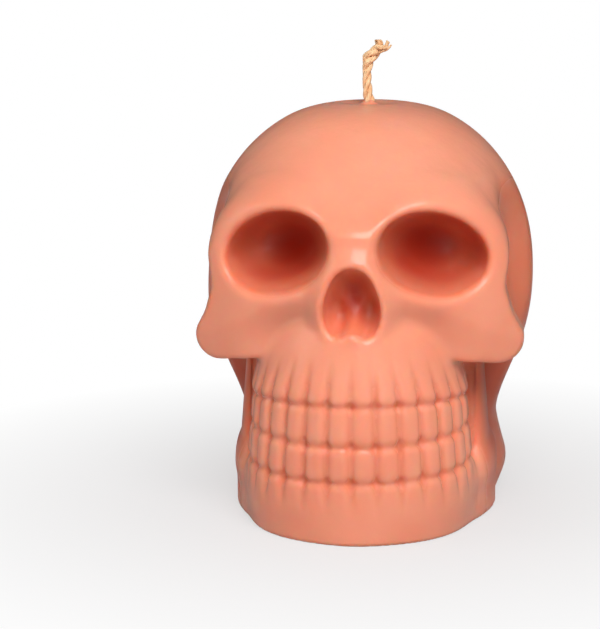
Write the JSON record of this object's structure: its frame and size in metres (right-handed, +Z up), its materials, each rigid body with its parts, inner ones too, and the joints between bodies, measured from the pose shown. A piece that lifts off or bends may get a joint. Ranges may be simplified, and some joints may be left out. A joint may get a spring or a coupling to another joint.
{
  "type": "skull candle",
  "caption": "Skull-shaped wax candle with deep eye sockets, carved teeth, a flat underside and a twisted cotton wick at its crown.",
  "frame": {"origin": "middle of the bounding box at the flat underside", "axes": "+Z up, the face looks along -Y, X across the face"},
  "size_m": [0.0572, 0.07, 0.0798],
  "materials": {
    "wax": "semi-gloss translucent cast wax, coral",
    "cotton": "twisted cotton, soaked with wax"
  },
  "bodies": {
    "root": {"wax_skull": "wax", "wick": "cotton"}
  },
  "joints": []
}
